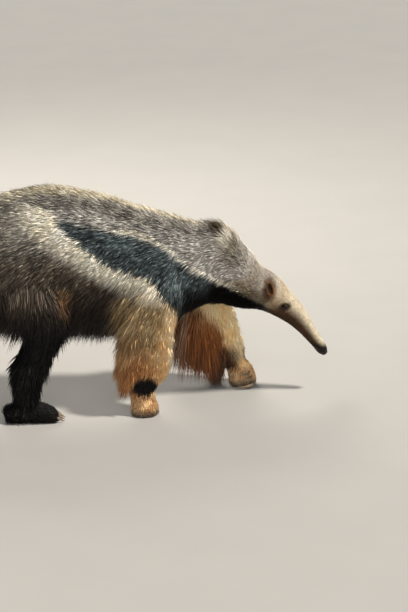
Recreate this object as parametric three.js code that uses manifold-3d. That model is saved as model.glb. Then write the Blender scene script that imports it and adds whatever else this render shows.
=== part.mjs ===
// A giant anteater, life size, standing in mid-stride with its head low.
// Millimetres: +X is forward, +Y is its left side, +Z is up and z = 0 is the floor.
import * as THREE from "three";
import { mergeVertices } from "three/addons/utils/BufferGeometryUtils.js";
import Module from "manifold-3d";

const wasm = await Module();
wasm.setup();

// Driving dimensions
const gap = 0.3; // between pieces that touch
const stanceHalfWidth = 112; // from the middle of the body to the middle of a foot
const rightForefootX = 500;
const leftForefootX = 850;
const rightHindfootX = 140;
const leftHindfootX = -235;
const belowFloor = -12; // feet are shaped this far down, then cut flat at the floor
const eyeRadius = 8.5;
const lidThickness = 2.2;
const earHeight = 46;
const earThickness = 2.6;
const foreclawLength = 62;
const hindclawLength = 36;
const lockSunk = 16; // how deep a lock's root goes into the coat's core
const lockThickness = 13; // at the root of a lock
const lowestTip = 14; // no lock hangs lower than this over the floor
const lockClearance = 1; // between a lock and the locks of the next piece

const across = new THREE.Vector3(0, 1, 0);
const up = new THREE.Vector3(0, 0, 1);
const degrees = Math.PI / 180;

// A repeatable run of numbers from 0 to 1
let seed = 7;
function random() {
  seed = (seed * 1664525 + 1013904223) % 4294967296;
  return seed / 4294967296;
}
const vary = (share) => 1 + share * (2 * random() - 1);

// A section of a tube: its centre, half its width, and its reach above and below the
// centre. On a leg, these last two are its reach to the front and to the back.
const section = (x, y, z, wide, upper, lower) => ({
  centre: new THREE.Vector3(x, y, z),
  reach: new THREE.Vector3(wide, upper, lower),
});

// Trunk, neck, head and nose are one run of sections. The belly is the coat's core,
// from which locks hang.
const spine = [
  section(-222, 0, 506, 54, 60, 62), // root of the tail
  section(-130, 0, 512, 108, 116, 124),
  section(-10, 0, 512, 148, 166, 168), // hips
  section(120, 0, 508, 164, 208, 188),
  section(220, 0, 500, 166, 230, 192), // top of the back
  section(340, 0, 490, 162, 212, 184),
  section(460, 0, 474, 154, 184, 176), // chest
  section(575, 0, 462, 138, 160, 168),
  section(665, 0, 450, 118, 150, 152), // shoulders
  section(738, 0, 442, 100, 142, 139),
  section(797, 0, 414, 83, 108, 114),
  section(854, 0, 376, 69, 78, 86), // nape
  section(913, 0, 344, 58, 69, 64), // ears
  section(966, 0, 303, 45, 51, 47), // eyes
  section(1004, 0, 269, 35, 40, 38),
  section(1040, 0, 226, 27, 29, 28),
  section(1076, 0, 177, 21, 21, 21),
  section(1099, 0, 144, 18, 17, 18), // nose
  section(1108, 0, 131, 11, 10, 11),
];
const spineAt = (n) => n / (spine.length - 1);
const neckStart = spineAt(8.2);
const headStart = spineAt(11.3);
const noseStart = spineAt(16.6);

// The tail's flesh with the inner half of its hair, from its tip to its root
const tail = [
  section(-925, 0, 334, 10, 12, 26),
  section(-860, 0, 358, 24, 30, 66),
  section(-760, 0, 392, 31, 38, 92),
  section(-630, 0, 430, 35, 42, 106),
  section(-480, 0, 466, 38, 44, 104),
  section(-330, 0, 492, 42, 48, 86),
  section(-205, 0, 504, 50, 56, 64),
];

// A foreleg that stands back under the shoulder
const standingForeleg = (footX, side) => {
  const y = (v) => side * v;
  return [
    section(footX + 96, y(90), 470, 46, 60, 66),
    section(footX + 60, y(110), 400, 64, 90, 84), // upper arm
    section(footX + 22, y(119), 322, 68, 104, 84),
    section(footX + 5, y(119), 250, 64, 106, 82), // elbow
    section(footX, y(116), 188, 57, 103, 72),
    section(footX - 3, y(114), 138, 50, 86, 60),
    section(footX - 5, y(stanceHalfWidth), 98, 42, 54, 48), // wrist
    section(footX - 2, y(stanceHalfWidth), 58, 41, 42, 42),
    section(footX + 2, y(stanceHalfWidth), 26, 45, 46, 45),
    section(footX + 4, y(stanceHalfWidth), belowFloor, 44, 48, 44),
  ];
};

// A foreleg that reaches forward
const reachingForeleg = (footX, side) => {
  const y = (v) => side * v;
  return [
    section(footX - 245, y(90), 458, 46, 60, 66),
    section(footX - 188, y(110), 388, 64, 84, 90), // upper arm
    section(footX - 130, y(119), 308, 66, 88, 92),
    section(footX - 86, y(119), 242, 62, 78, 80), // elbow
    section(footX - 56, y(117), 182, 55, 66, 64),
    section(footX - 33, y(114), 128, 46, 52, 52),
    section(footX - 14, y(stanceHalfWidth), 86, 40, 38, 42), // wrist
    section(footX + 2, y(stanceHalfWidth), 52, 42, 42, 44),
    section(footX + 8, y(stanceHalfWidth), 24, 45, 47, 46),
    section(footX + 10, y(stanceHalfWidth), belowFloor, 44, 48, 44),
  ];
};
const wristAt = 5.7 / 9; // where a forefoot is parted from its leg

// A hind leg with its knee well forward
const forwardHindleg = (footX, side) => {
  const y = (v) => side * v;
  return [
    section(footX - 110, y(84), 480, 44, 76, 76),
    section(footX - 10, y(110), 430, 68, 104, 112), // thigh
    section(footX + 58, y(122), 360, 68, 80, 106), // knee
    section(footX + 42, y(120), 270, 58, 62, 78),
    section(footX + 6, y(116), 182, 48, 50, 58),
    section(footX - 8, y(stanceHalfWidth), 104, 40, 44, 46), // ankle
    section(footX - 10, y(stanceHalfWidth), 24, 36, 40, 42),
  ];
};

// A hind leg that pushes off behind
const trailingHindleg = (footX, side) => {
  const y = (v) => side * v;
  return [
    section(footX + 228, y(84), 480, 44, 76, 76),
    section(footX + 250, y(110), 418, 68, 100, 108), // thigh
    section(footX + 232, y(122), 336, 68, 78, 96), // knee
    section(footX + 148, y(120), 248, 58, 60, 74),
    section(footX + 50, y(116), 166, 48, 50, 56),
    section(footX - 2, y(stanceHalfWidth), 102, 40, 44, 46), // ankle
    section(footX - 12, y(stanceHalfWidth), 24, 36, 40, 42),
  ];
};

const hindfoot = (footX, side) => {
  const y = side * stanceHalfWidth;
  return [
    section(footX - 82, y, 22, 20, 16, 30), // heel
    section(footX - 62, y, 28, 34, 32, 40),
    section(footX - 10, y, 34, 40, 40, 46),
    section(footX + 40, y, 26, 46, 32, 38),
    section(footX + 72, y, 18, 48, 22, 30), // toes
    section(footX + 88, y, 14, 40, 12, 26),
  ];
};

// A closed mesh as a solid, turned right side out
function solid(geometry) {
  const bare = new THREE.BufferGeometry();
  bare.setAttribute("position", geometry.getAttribute("position"));
  bare.setIndex(geometry.getIndex());
  const merged = mergeVertices(bare, 1e-4);
  const vertProperties = merged.getAttribute("position").array;
  const triVerts = new Uint32Array(merged.getIndex().array);
  const made = new wasm.Manifold(new wasm.Mesh({ numProp: 3, vertProperties, triVerts }));
  if (made.volume() > 0) return made;
  for (let i = 0; i < triVerts.length; i += 3) {
    [triVerts[i + 1], triVerts[i + 2]] = [triVerts[i + 2], triVerts[i + 1]];
  }
  return new wasm.Manifold(new wasm.Mesh({ numProp: 3, vertProperties, triVerts }));
}

const middle = (ring) =>
  ring.reduce((sum, p) => sum.add(p), new THREE.Vector3()).divideScalar(ring.length);

// Rings alike in number as one closed skin, each end a fan to its own point
function skinOver(rings, start = middle(rings[0]), end = middle(rings[rings.length - 1])) {
  const sides = rings[0].length;
  const points = [...rings.flat(), start, end];
  const last = rings.length - 1;
  const index = [];
  for (let j = 0; j < sides; j++) {
    const k = (j + 1) % sides;
    index.push(points.length - 2, k, j);
    for (let i = 0; i < last; i++) {
      const a = i * sides;
      const b = a + sides;
      index.push(a + j, a + k, b + k, a + j, b + k, b + j);
    }
    index.push(points.length - 1, last * sides + j, last * sides + k);
  }
  const geometry = new THREE.BufferGeometry().setFromPoints(points);
  geometry.setIndex(index);
  return solid(geometry);
}

// A tube's middle at t, with its directions along, sideways and upward
function frameAt(sections, t) {
  const path = new THREE.CatmullRomCurve3(sections.map((s) => s.centre), false, "centripetal");
  const sizes = new THREE.CatmullRomCurve3(sections.map((s) => s.reach), false, "catmullrom");
  const along = path.getTangent(t);
  const sideways = across.clone().addScaledVector(along, -across.dot(along)).normalize();
  const upward = along.clone().cross(sideways);
  return { centre: path.getPoint(t), along, sideways, upward, reach: sizes.getPoint(t) };
}

// A point by its steps along, sideways and upward from a tube's middle
const stepFrom = ({ centre, along, sideways, upward }, forward, aside, rise) =>
  centre
    .clone()
    .addScaledVector(along, forward)
    .addScaledVector(sideways, aside)
    .addScaledVector(upward, rise);

// A point on a tube: angle 0 is its left side, a quarter turn its top (or a leg's front)
function onSurface(frame, angle, grow = 0) {
  const rise = Math.sin(angle) > 0 ? frame.reach.y : frame.reach.z;
  const aside = Math.cos(angle) * (frame.reach.x + grow);
  return stepFrom(frame, 0, aside, Math.sin(angle) * (rise + grow));
}

function tube(sections, { from = 0, to = 1, steps, sides, grow = 0 }) {
  const rings = Array.from({ length: steps + 1 }, (_, i) => {
    const frame = frameAt(sections, from + ((to - from) * i) / steps);
    const stretch = { 0: -grow, [steps]: grow }[i] ?? 0;
    frame.centre.addScaledVector(frame.along, stretch);
    return Array.from({ length: sides }, (_, j) =>
      onSurface(frame, (2 * Math.PI * j) / sides, grow),
    );
  });
  return skinOver(rings);
}

// An ellipsoid whose x axis points a given way
function ellipsoid(centre, [a, b, c], pointing, detail) {
  const geometry = new THREE.SphereGeometry(1, detail, Math.round(detail * 0.6));
  geometry.scale(a, b, c);
  const forward = new THREE.Vector3(1, 0, 0);
  const turn = new THREE.Quaternion().setFromUnitVectors(forward, pointing.clone().normalize());
  geometry.applyQuaternion(turn);
  geometry.translate(centre.x, centre.y, centre.z);
  return solid(geometry);
}

// A flat lock: it leaves its root along lie, bends over to fall, narrows and ends in a point
function lock({ root, face, lie, fall, length, wide, thick = lockThickness }, grow) {
  const start = root.clone().addScaledVector(face, -lockSunk);
  const bend = root.clone().addScaledVector(lie.clone().normalize(), 0.45 * length);
  const tip = bend.clone().addScaledVector(fall.clone().normalize(), 0.55 * length + grow);
  if (tip.z < lowestTip) tip.z = lowestTip;
  const curve = new THREE.QuadraticBezierCurve3(start, bend, tip);
  const rings = [[0, 0.8, 1], [0.36, 1, 0.9], [0.72, 0.66, 0.6]].map(([t, w, h]) => {
    const along = curve.getTangent(t);
    const side = new THREE.Vector3().crossVectors(along, face).normalize();
    const over = new THREE.Vector3().crossVectors(side, along);
    const slope = (2 * h * thick) / (w * wide);
    const halfWidth = (w * wide) / 2 + (grow * (1 + Math.hypot(1, slope))) / slope;
    const halfThickness = (h * thick) / 2 + grow * Math.hypot(1, slope);
    return [[1, -1], [0, 1], [-1, -1]].map(([s, o]) =>
      curve
        .getPoint(t)
        .addScaledVector(side, s * halfWidth)
        .addScaledVector(over, o * halfThickness),
    );
  });
  return skinOver(rings, undefined, tip);
}

// A direction as shares of down, back, out from the skin and along the tube
const heading = ({ down = 0, back = 0, out = 0, along = 0 }, outward, frame) =>
  new THREE.Vector3(-back, 0, -down)
    .addScaledVector(outward, out)
    .addScaledVector(frame.along, along);

// Hanging locks turn their flat sides outward rather than down.
const facing = new THREE.Vector3(1, 1, 0.3);

// A row of locks along a tube, from one place to another, at one angle round it
function lockRow(sections, { from, to, count, angle, lie, fall, length, wide }) {
  return Array.from({ length: count }, (_, i) => {
    const share = count > 1 ? i / (count - 1) : 0.5;
    const t = from + (to - from) * share + (0.12 * (to - from) * (random() - 0.5)) / count;
    const turned = (angle + 8 * (random() - 0.5)) * degrees;
    const frame = frameAt(sections, t);
    const root = onSurface(frame, turned);
    const out = root.clone().sub(frame.centre).normalize();
    const drift = new THREE.Vector3(random() - 0.5, random() - 0.5, 0).multiplyScalar(0.16);
    return {
      root,
      face: out.clone().multiply(facing).normalize(),
      lie: heading(lie, out, frame).add(drift),
      fall: heading(fall, out, frame).add(drift),
      length: length(share) * vary(0.1),
      wide: wide * vary(0.15),
    };
  });
}

// A pointed claw that curves through three points
function claw([start, bend, tip], thick, grow) {
  const curve = new THREE.QuadraticBezierCurve3(start, bend, tip);
  const rings = [0, 0.25, 0.5, 0.78].map((t) => {
    const along = curve.getTangent(t);
    const side = new THREE.Vector3().crossVectors(along, up).normalize();
    const top = new THREE.Vector3().crossVectors(side, along);
    const radius = thick * (1 - 0.8 * t ** 1.6) + grow;
    return Array.from({ length: 6 }, (_, j) =>
      curve
        .getPoint(t)
        .addScaledVector(side, 0.7 * radius * Math.cos((j * Math.PI) / 3))
        .addScaledVector(top, radius * Math.sin((j * Math.PI) / 3)),
    );
  });
  return skinOver(rings, undefined, tip);
}

const floorBlock = solid(new THREE.BoxGeometry(4000, 2000, 200).translate(0, 0, -100));

// Materials
const finish = (colour, roughness) =>
  new THREE.MeshStandardMaterial({ color: colour, roughness, metalness: 0 });
const coatGrey = finish("#6d645c", 0.9);
const coatBlack = finish("#23201f", 0.9);
const coatTan = finish("#b08a62", 0.9);
const coatFace = finish("#a3927e", 0.85);
const noseSkin = finish("#1a1717", 0.5);
const earSkin = finish("#8a5a3c", 0.8);
const eyeball = finish("#120d0a", 0.15);
const clawHorn = finish("#4a4038", 0.5);

// Each piece has a core, given how far to grow it, and the locks that grow from it.
const pieces = [];
const addPiece = (name, material, core, locks = []) => pieces.push({ name, material, core, locks });

// Trunk
const halfGap = gap / 2 / 1500;
const spineSides = 22;
const spineTube = (from, to, steps, sides) => (grow) =>
  tube(spine, { from: from + halfGap, to: to - halfGap, steps, sides, grow });

const sides = [-1, 1];
const flankAngle = (side, below) => (side < 0 ? 180 + below : -below);

const trunkLocks = [
  ...lockRow(spine, {
    from: spineAt(7.4), to: spineAt(0.5), count: 12, angle: 90, length: () => 106, wide: 72,
    lie: { along: -1, out: 0.03 }, fall: { along: -1, out: -0.5 },
  }),
  ...sides.flatMap((side) => [
    ...lockRow(spine, {
      from: spineAt(0.7), to: spineAt(6.1), count: 11, angle: flankAngle(side, 60), wide: 84,
      length: (share) => 128 - 36 * share,
      lie: { down: 1, back: 0.5, out: 0.2 }, fall: { down: 1, back: 0.4 },
    }),
    ...lockRow(spine, {
      from: spineAt(0.5), to: spineAt(3.4), count: 5, angle: flankAngle(side, 26), wide: 84,
      length: () => 150,
      lie: { down: 1, back: 0.6, out: 0.2 }, fall: { down: 1, back: 0.4, out: -0.15 },
    }),
    ...lockRow(spine, {
      from: spineAt(0.2), to: spineAt(1.2), count: 2, angle: flankAngle(side, -30), wide: 70,
      length: () => 130,
      lie: { down: 0.6, along: -1, out: 0.2 }, fall: { down: 1, along: -0.6, out: -0.2 },
    }),
  ]),
];

// Neck, with its crest
const crestLocks = lockRow(spine, {
  from: spineAt(8.6), to: spineAt(10.6), count: 4, angle: 90, length: () => 58, wide: 44,
  lie: { along: -1, out: 0.9 }, fall: { along: -1, out: 0.1 },
});

// Head
const eyeFrame = frameAt(spine, spineAt(12.93));
const eyeCentre = (side) => stepFrom(eyeFrame, 0, side * 38, 2);
const eyeForm = (side) => (grow) => {
  const radius = eyeRadius + grow;
  return ellipsoid(eyeCentre(side), [radius, radius, radius], across, 12);
};

// The lids are a shell over the eyeball with an almond opening.
function lids(side) {
  const radius = eyeRadius + lidThickness;
  const cover = ellipsoid(eyeCentre(side), [radius * 1.35, radius, radius], eyeFrame.along, 12);
  const middleOfOpening = eyeCentre(side).addScaledVector(across, side * (eyeRadius + 1));
  const opening = ellipsoid(middleOfOpening, [8.5, 8, 4.8], eyeFrame.along, 10);
  return { cover, opening };
}

const noseFrame = frameAt(spine, spineAt(16.9));
const nostril = (side) => {
  const pointing = stepFrom(noseFrame, 1, side * 0.8, 0.2).sub(noseFrame.centre);
  return ellipsoid(stepFrom(noseFrame, 17, side * 7.5, 4), [6, 2.2, 3.4], pointing, 8);
};
const mouth = () =>
  ellipsoid(stepFrom(noseFrame, 2, 0, -8.5), [30, 40, 0.9], noseFrame.along, 10);

const skull = spineTube(headStart, noseStart, 12, spineSides);
const headForm = (grow) => {
  if (grow) return skull(grow);
  const covered = sides.reduce((form, side) => form.add(lids(side).cover), skull(0));
  const open = sides.reduce((form, side) => form.subtract(lids(side).opening), covered);
  return open.subtract(mouth());
};
const nosePad = spineTube(noseStart, 1, 4, 18);
const noseForm = (grow) =>
  grow ? nosePad(grow) : nosePad(0).subtract(nostril(-1)).subtract(nostril(1)).subtract(mouth());

// An ear is a small cup that opens outward and a little forward.
const earForm = (side) => (grow) => {
  const frame = frameAt(spine, spineAt(11.95));
  const root = onSurface(frame, flankAngle(side, -14) * degrees);
  const opens = new THREE.Vector3(0.4, side, -0.1).normalize();
  const stands = new THREE.Vector3(-0.3, side * 0.35, 0.85).normalize();
  const centre = root.clone().addScaledVector(stands, 0.2 * earHeight);
  const cup = ellipsoid(centre, [10 + grow, 13 + grow, earHeight / 2 + grow], opens, 12);
  if (grow) return cup;
  const hollow = [9, 13 - earThickness, earHeight / 2 - earThickness];
  return cup.subtract(ellipsoid(centre.addScaledVector(opens, 6), hollow, opens, 10));
};

addPiece("torso", coatGrey, spineTube(0, neckStart, 18, spineSides), trunkLocks);
addPiece("neck", coatGrey, spineTube(neckStart, headStart, 6, spineSides), crestLocks);
for (const side of sides) addPiece(side < 0 ? "eye_right" : "eye_left", eyeball, eyeForm(side));
addPiece("head", coatFace, headForm);
addPiece("nose", noseSkin, noseForm);
for (const side of sides) addPiece(side < 0 ? "ear_right" : "ear_left", earSkin, earForm(side));

// Legs and feet
const legGap = gap / 2 / 500;
const legTube = (sections, from, to, steps) => (grow) =>
  tube(sections, { from: from + legGap, to: to - legGap, steps, sides: 14, grow }).subtract(floorBlock);

// On a leg, locks fall down its back and its outer side.
const behind = -90;
const outerBack = (side) => (side < 0 ? -142 : -38);
const innerBack = (side) => (side < 0 ? -46 : -134);
const outerFront = (side) => (side < 0 ? 150 : 30);

function forelegLocks(sections, side, fringe) {
  const lie = { down: 1, out: 0.45 };
  const fall = { down: 1, out: -0.02 };
  return [
    { angle: behind, from: 0.2, to: 0.58, count: 5, length: fringe },
    { angle: outerBack(side), from: 0.26, to: 0.56, count: 3, length: (s) => 0.8 * fringe(s) },
    { angle: innerBack(side), from: 0.26, to: 0.54, count: 3, length: (s) => 0.8 * fringe(s) },
  ].flatMap((row) => lockRow(sections, { ...row, lie, fall, wide: 84 }));
}

function hindlegLocks(sections, side) {
  const lie = { down: 1, out: 0.45 };
  const fall = { down: 1, out: 0.03 };
  return [
    { angle: behind, from: 0.2, to: 0.76, count: 5 },
    { angle: outerBack(side), from: 0.24, to: 0.74, count: 4 },
    { angle: outerFront(side), from: 0.34, to: 0.74, count: 4 },
    { angle: 90, from: 0.5, to: 0.76, count: 2 },
  ].flatMap((row) => lockRow(sections, { ...row, lie, fall, wide: 64, length: () => 112 }));
}

// Three big claws of each forefoot fold back along its inner side.
function addForeclaws(name, side, footX) {
  [1, 0.85, 0.6].forEach((size, n) => {
    const length = size * foreclawLength;
    const start = new THREE.Vector3(footX + 38 - 6 * n, side * (stanceHalfWidth - 30), 12 + 19 * n);
    const bend = start.clone().add(new THREE.Vector3(0, (-side * length) / 1.6, 0));
    const tip = start.clone().add(new THREE.Vector3(-length, (-side * length) / 2.3, -3));
    const form = (grow) => claw([start, bend, tip], 9 * size, grow).subtract(floorBlock);
    addPiece(`foreclaw_${name}_${n + 1}`, clawHorn, form);
  });
}

function addHindclaws(name, side, footX) {
  [-2, -1, 0, 1, 2].forEach((n) => {
    const start = new THREE.Vector3(footX + 76 - 4 * Math.abs(n), side * stanceHalfWidth + n * 17, 14);
    const bend = start.clone().add(new THREE.Vector3(0.55 * hindclawLength, 0, 7));
    const tip = start.clone().add(new THREE.Vector3(hindclawLength, 0, -10));
    const form = (grow) => claw([start, bend, tip], 5.5, grow).subtract(floorBlock);
    addPiece(`hindclaw_${name}_${n + 3}`, clawHorn, form);
  });
}

function addLegs(name, side, foreleg, foreX, fringe, hindleg, hindX) {
  addPiece(`forefoot_${name}`, coatTan, legTube(foreleg, wristAt, 1, 5));
  addPiece(`foreleg_${name}`, coatTan, legTube(foreleg, 0, wristAt, 8), forelegLocks(foreleg, side, fringe));
  addForeclaws(name, side, foreX);
  addPiece(`hindfoot_${name}`, coatBlack, legTube(hindfoot(hindX, side), 0, 1, 7));
  addPiece(`hindleg_${name}`, coatBlack, legTube(hindleg, 0, 1, 9), hindlegLocks(hindleg, side));
  addHindclaws(name, side, hindX);
}
addLegs(
  "right", -1,
  standingForeleg(rightForefootX, -1), rightForefootX, (share) => 118 - 40 * share,
  forwardHindleg(rightHindfootX, -1), rightHindfootX,
);
addLegs(
  "left", 1,
  reachingForeleg(leftForefootX, 1), leftForefootX, (share) => 200 - 110 * share,
  trailingHindleg(leftHindfootX, 1), leftHindfootX,
);

// Tail: hair hangs from its sides, sweeps back along its top and trails off its end.
const hangs = (back, out) => ({ down: 1, back, out });
function tailLocks({ from, to, count, sweep, hair }) {
  const stretch = { from: from + 0.05, to: to - 0.05 };
  const hanging = sides.flatMap((side) =>
    [[10, 0.86], [56, 1]].flatMap(([below, share]) =>
      lockRow(tail, {
        ...stretch, count, angle: flankAngle(side, below), wide: 120, length: () => share * hair,
        lie: hangs(sweep + 0.1, 0.12), fall: hangs(sweep, -0.04),
      }),
    ),
  );
  const onTop = lockRow(tail, {
    ...stretch, count: 2, angle: 90, wide: 64, length: () => 120,
    lie: { along: -1, out: 0.2 }, fall: { along: -1, out: -0.25 },
  });
  return [...hanging, ...onTop];
}
const trailing = [-1, 0, 1].flatMap((aside, i) =>
  lockRow(tail, {
    from: 0.03, to: 0.07, count: 1, angle: [flankAngle(-1, 20), -90, flankAngle(1, 20)][i], wide: 90,
    length: () => 255,
    lie: { back: 1, down: 0.45, out: 0.1 }, fall: { back: 0.8, down: 1 },
  }),
);
[
  { name: "tail_base", from: 0.66, to: 1, count: 3, sweep: 0.3, hair: 250 },
  { name: "tail_middle", from: 0.33, to: 0.66, count: 4, sweep: 0.34, hair: 285 },
  { name: "tail_tip", from: 0, to: 0.33, count: 2, sweep: 0.56, hair: 255 },
].forEach(({ name, ...part }) => {
  const { from, to } = part;
  const core = (grow) =>
    tube(tail, { from: from + halfGap, to: to - halfGap, steps: 4, sides: 10, grow });
  const locks = tailLocks(part);
  addPiece(name, coatGrey, core, name === "tail_tip" ? [...locks, ...trailing] : locks);
});

// Cores are cut clear of the cores before them, and locks of every other core and of the
// locks before them.
const joined = (forms) => wasm.Manifold.union(forms);
function meets(a, b) {
  const p = a.boundingBox();
  const q = b.boundingBox();
  return [0, 1, 2].every((i) => p.min[i] <= q.max[i] && q.min[i] <= p.max[i]);
}
const clearOf = (form, others) =>
  others.filter((other) => meets(form, other)).reduce((rest, other) => rest.subtract(other), form);

for (const piece of pieces) {
  piece.grownCore = piece.core(gap);
  piece.hair = piece.locks.map((one) => lock(one, 0));
  piece.grownHair = piece.locks.map((one) => lock(one, lockClearance));
}
const model = new THREE.Group();
pieces.forEach((piece, i) => {
  const before = pieces.slice(0, i);
  const core = clearOf(piece.core(0), before.map((other) => other.grownCore));
  const obstacles = [
    ...pieces.filter((other) => other !== piece).map((other) => other.grownCore),
    ...before.flatMap((other) => other.grownHair),
  ];
  const form = joined([core, ...piece.hair.map((one) => clearOf(one, obstacles))]);
  const whole = form.decompose().reduce((a, b) => (b.volume() > a.volume() ? b : a));
  const { vertProperties, triVerts } = whole.getMesh();
  const geometry = new THREE.BufferGeometry();
  geometry.setAttribute("position", new THREE.BufferAttribute(vertProperties, 3));
  geometry.setIndex(new THREE.BufferAttribute(triVerts, 1));
  const mesh = new THREE.Mesh(geometry, piece.material);
  mesh.name = piece.name;
  model.add(mesh);
});

export default model;
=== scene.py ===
# A giant anteater in mid-stride: one skin, its coat of tufts, eyes, ears and claws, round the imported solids
import bpy
from itertools import product
from math import pi, radians
import numpy as np
from mathutils import Matrix, Vector


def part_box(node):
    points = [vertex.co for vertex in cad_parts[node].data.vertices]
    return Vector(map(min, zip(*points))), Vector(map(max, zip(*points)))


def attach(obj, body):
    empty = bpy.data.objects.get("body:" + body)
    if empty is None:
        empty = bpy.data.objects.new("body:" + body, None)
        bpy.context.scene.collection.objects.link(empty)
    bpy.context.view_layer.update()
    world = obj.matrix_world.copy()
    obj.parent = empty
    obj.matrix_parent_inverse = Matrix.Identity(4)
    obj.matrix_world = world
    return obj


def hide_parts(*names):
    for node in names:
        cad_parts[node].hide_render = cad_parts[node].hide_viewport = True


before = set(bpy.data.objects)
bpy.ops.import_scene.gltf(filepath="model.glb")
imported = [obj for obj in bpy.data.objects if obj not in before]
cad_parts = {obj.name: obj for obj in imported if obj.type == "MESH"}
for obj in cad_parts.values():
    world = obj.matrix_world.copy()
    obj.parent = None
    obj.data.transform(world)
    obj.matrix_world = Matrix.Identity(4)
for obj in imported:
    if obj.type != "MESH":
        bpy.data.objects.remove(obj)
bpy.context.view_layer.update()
mm = 0.001


# small tools
def toLinear(hexCode):
    # sRGB hex to the linear values that shaders work in
    s = np.array([int(hexCode[i:i + 2], 16) for i in (1, 3, 5)]) / 255
    return np.where(s <= 0.04045, s / 12.92, ((s + 0.055) / 1.055) ** 2.4)


def smooth(low, high, x):
    # 0 below low, 1 above high, an S between them
    w = np.clip((np.asarray(x, float) - low) / (high - low), 0, 1)
    return w * w * (3 - 2 * w)


def unit(v):
    return v / np.maximum(np.linalg.norm(v, axis=-1, keepdims=True), 1e-9)


def dot(a, b):
    return (a * b).sum(-1, keepdims=True)


def latticeValue(cell, seed):
    # a repeatable number from 0 to 1 for each whole-number cell
    wave = np.sin((cell * np.array([12.9898, 78.233, 37.719])).sum(-1) + seed * 4.137) * 43758.5453
    return wave - np.floor(wave)


def cloud(points, size, seed):
    # smooth noise from 0 to 1: the eight corners of each cell, blended by an S curve
    scaled = points / size
    cell = np.floor(scaled)
    w = scaled - cell
    w = w * w * (3 - 2 * w)
    total = np.zeros(len(points))
    for corner in product((0, 1), repeat=3):
        share = np.prod(np.where(corner, w, 1 - w), axis=1)
        total += share * latticeValue(cell + corner, seed)
    return total


def drift(points, size, seed):
    # three clouds as a vector, each from -1 to 1
    return np.stack([cloud(points, size, seed + k) * 2 - 1 for k in range(3)], -1)


# the body's tables
stance = {
    "halfWidth": 112,
    "rightForefootX": 500,
    "leftForefootX": 850,
    "rightHindfootX": 140,
    "leftHindfootX": -235,
    "belowFloor": -12,
    "sole": 0.4,
}

# rows in mm: forward, aside, up, half width, reach above, reach below, depth of coat
# (on a leg the two reaches are its front and its back)
trunkRows = [
    (-222, 0, 506, 54, 60, 62, 16),
    (-130, 0, 512, 108, 120, 124, 18),
    (-10, 0, 512, 148, 178, 168, 19),
    (120, 0, 508, 164, 220, 188, 19),
    (220, 0, 500, 166, 238, 192, 19),
    (340, 0, 490, 162, 222, 184, 18),
    (460, 0, 474, 154, 197, 176, 17),
    (575, 0, 462, 138, 171, 168, 17),
    (665, 0, 450, 118, 152, 152, 16),
    (738, 0, 442, 100, 142, 139, 16),
    (797, 0, 414, 83, 108, 114, 12),
    (854, 0, 376, 69, 80, 86, 7),
    (913, 0, 344, 58, 70, 64, 5),
    (966, 0, 303, 45, 51, 47, 3),
    (1004, 0, 269, 35, 40, 38, 2),
    (1040, 0, 226, 27, 29, 28, 1.4),
    (1076, 0, 177, 21, 21, 21, 0.8),
    (1099, 0, 144, 18, 17, 18, 0.3),
    (1108, 0, 131, 11, 10, 11, 0.2),
]
tailRows = [
    (-925, 0, 340, 8, 8, 12, 3),
    (-860, 0, 366, 18, 20, 30, 6),
    (-760, 0, 402, 24, 28, 44, 8),
    (-630, 0, 442, 30, 34, 54, 10),
    (-480, 0, 476, 36, 40, 60, 12),
    (-330, 0, 498, 42, 46, 62, 14),
    (-205, 0, 504, 50, 56, 64, 18),
]
standingForeleg = [
    (96, 90, 470, 46, 60, 66, 24),
    (60, 110, 400, 64, 90, 84, 24),
    (22, 119, 322, 68, 104, 84, 24),
    (5, 119, 250, 64, 106, 82, 22),
    (0, 116, 188, 57, 103, 72, 20),
    (-3, 114, 138, 50, 86, 60, 16),
    (-5, 112, 98, 42, 54, 48, 9),
    (-2, 112, 58, 41, 42, 42, 6),
    (2, 112, 26, 45, 46, 45, 4),
    (4, 112, -12, 44, 48, 44, 3),
]
reachingForeleg = [
    (-245, 90, 458, 46, 60, 66, 24),
    (-188, 110, 388, 64, 84, 90, 24),
    (-130, 119, 308, 66, 88, 92, 22),
    (-86, 119, 242, 62, 78, 80, 20),
    (-56, 117, 182, 55, 66, 64, 16),
    (-33, 114, 128, 46, 52, 52, 12),
    (-14, 112, 86, 40, 38, 42, 8),
    (2, 112, 52, 42, 42, 44, 6),
    (8, 112, 24, 45, 47, 46, 4),
    (10, 112, -12, 44, 48, 44, 3),
]
forwardHindleg = [
    (-110, 84, 480, 44, 76, 76, 20),
    (-10, 110, 430, 68, 104, 112, 22),
    (58, 122, 360, 68, 80, 106, 22),
    (42, 120, 270, 58, 62, 78, 20),
    (6, 116, 182, 48, 50, 58, 16),
    (-8, 112, 104, 40, 44, 46, 12),
    (-10, 112, 24, 36, 40, 42, 8),
]
trailingHindleg = [
    (228, 84, 480, 44, 76, 76, 20),
    (250, 110, 418, 68, 100, 108, 22),
    (232, 122, 336, 68, 78, 96, 22),
    (148, 120, 248, 58, 60, 74, 20),
    (50, 116, 166, 48, 50, 56, 16),
    (-2, 112, 102, 40, 44, 46, 12),
    (-12, 112, 24, 36, 40, 42, 8),
]
hindfootRows = [
    (-82, 112, 22, 20, 16, 30, 3),
    (-62, 112, 28, 34, 32, 40, 5),
    (-10, 112, 34, 40, 40, 46, 6),
    (40, 112, 26, 46, 32, 38, 4),
    (72, 112, 18, 48, 22, 30, 3),
    (88, 112, 14, 40, 12, 26, 2),
]


def placed(rows, footX=0, side=1):
    # a table as metres, moved to its foot and mirrored to its side
    table = np.array(rows, float)
    table[:, 0] += footX
    table[:, 1] *= side
    return table * mm


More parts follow.
